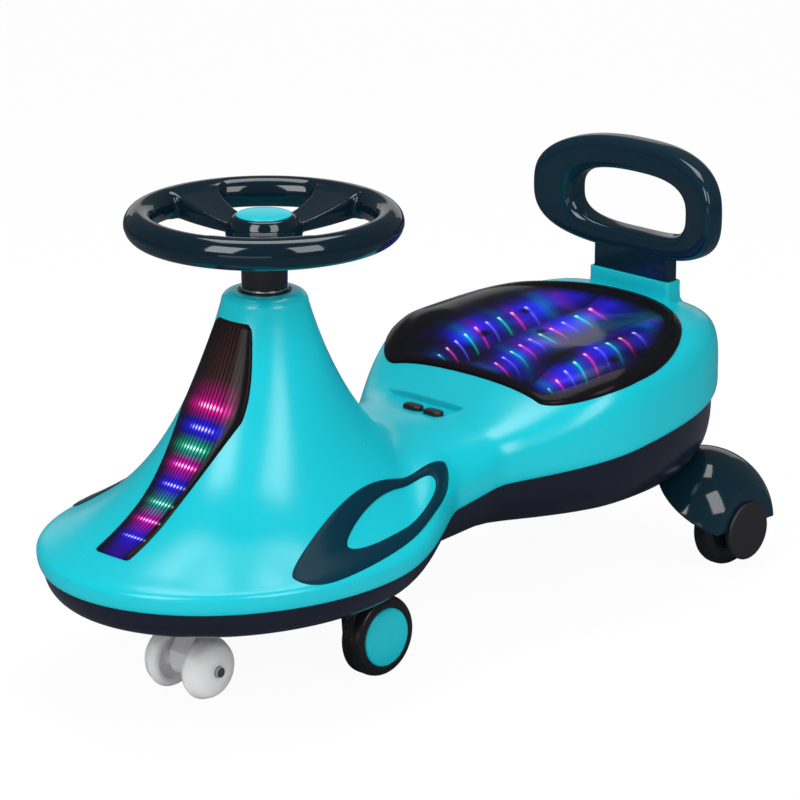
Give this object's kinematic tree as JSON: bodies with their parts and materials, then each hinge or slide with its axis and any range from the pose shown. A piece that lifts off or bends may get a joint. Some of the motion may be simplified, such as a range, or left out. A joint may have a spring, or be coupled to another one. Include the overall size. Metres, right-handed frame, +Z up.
{
  "type": "wiggle car",
  "caption": "Ride-on wiggle car with a tall steering column, a waisted body, a lit seat, an oval backrest and small wheels on a swing arm, side legs and rear hoods.",
  "frame": {"origin": "middle of the box around the car, on the floor", "axes": "+X forward, +Y to the car's left, +Z up"},
  "size_m": [0.8, 0.335, 0.4315],
  "materials": {
    "teal": "gloss",
    "dark_blue": "gloss",
    "petrol": "gloss",
    "smoked": "gloss",
    "black": "satin",
    "tyre": "satin",
    "milky": "gloss",
    "natural": "satin",
    "steel": "brushed",
    "board": "satin"
  },
  "bodies": {
    "body": {"upper_shell": "teal", "lower_shell": "dark_blue", "seat_cover": "smoked", "front_light_cover": "smoked", "front_light_strip": "board", "seat_light_board": "board", "left_trim": "petrol", "right_trim": "petrol", "button_tray": "teal", "button_board": "board", "backrest": "petrol", "upper_bush": "black", "lower_bush": "black", "left_side_leg": "black", "right_side_leg": "black", "left_side_axle": "steel", "right_side_axle": "steel", "left_hood": "petrol", "right_hood": "petrol", "left_rear_axle": "steel", "right_rear_axle": "steel", "left_rear_disc": "black", "right_rear_disc": "black", "battery_box": "black", "battery_door": "dark_blue", "batteries": "steel", "body_screws": "steel"},
    "steering": {"steering_shaft": "steel", "shaft_nut": "steel", "thrust_washer": "steel", "neck_collar": "black", "steering_wheel_top": "petrol", "steering_wheel_bottom": "petrol", "steering_cap": "teal", "swing_arm": "natural", "front_axle": "steel", "axle_sleeves": "natural"},
    "left_front_wheel": {"left_front_wheel": "milky"},
    "right_front_wheel": {"right_front_wheel": "milky"},
    "left_side_wheel": {"left_side_tyre": "tyre", "left_side_cap": "teal"},
    "right_side_wheel": {"right_side_tyre": "tyre", "right_side_cap": "teal"},
    "left_rear_wheel": {"left_rear_wheel": "tyre"},
    "right_rear_wheel": {"right_rear_wheel": "tyre"},
    "light_button": {"light_button": "black"},
    "music_button": {"music_button": "black"}
  },
  "joints": [
    {"name": "steer", "type": "hinge", "parent": "body", "child": "steering", "pos_m": [0.17112, 0, 0.3], "axis": [0, 0, 1], "range_deg": [-60, 60]},
    {"name": "left_front_roll", "type": "hinge", "parent": "steering", "child": "left_front_wheel", "pos_m": [0.27012, 0.027, 0.029], "axis": [0, 1, 0], "continuous": true},
    {"name": "right_front_roll", "type": "hinge", "parent": "steering", "child": "right_front_wheel", "pos_m": [0.27012, -0.027, 0.029], "axis": [0, 1, 0], "continuous": true},
    {"name": "left_side_roll", "type": "hinge", "parent": "body", "child": "left_side_wheel", "pos_m": [0.1216, 0.0835, 0.0385], "axis": [0, 1, 0], "continuous": true},
    {"name": "right_side_roll", "type": "hinge", "parent": "body", "child": "right_side_wheel", "pos_m": [0.1216, -0.0835, 0.0385], "axis": [0, 1, 0], "continuous": true},
    {"name": "left_rear_roll", "type": "hinge", "parent": "body", "child": "left_rear_wheel", "pos_m": [-0.3336, 0.1248, 0.039], "axis": [0, 1, 0], "continuous": true},
    {"name": "right_rear_roll", "type": "hinge", "parent": "body", "child": "right_rear_wheel", "pos_m": [-0.3336, -0.1248, 0.039], "axis": [0, 1, 0], "continuous": true},
    {"name": "light_press", "type": "slide", "parent": "body", "child": "light_button", "axis": [0, 0, -1], "range_m": [0, 0.002], "stiffness_N_per_m": 400},
    {"name": "music_press", "type": "slide", "parent": "body", "child": "music_button", "axis": [0, 0, -1], "range_m": [0, 0.002], "stiffness_N_per_m": 400}
  ]
}
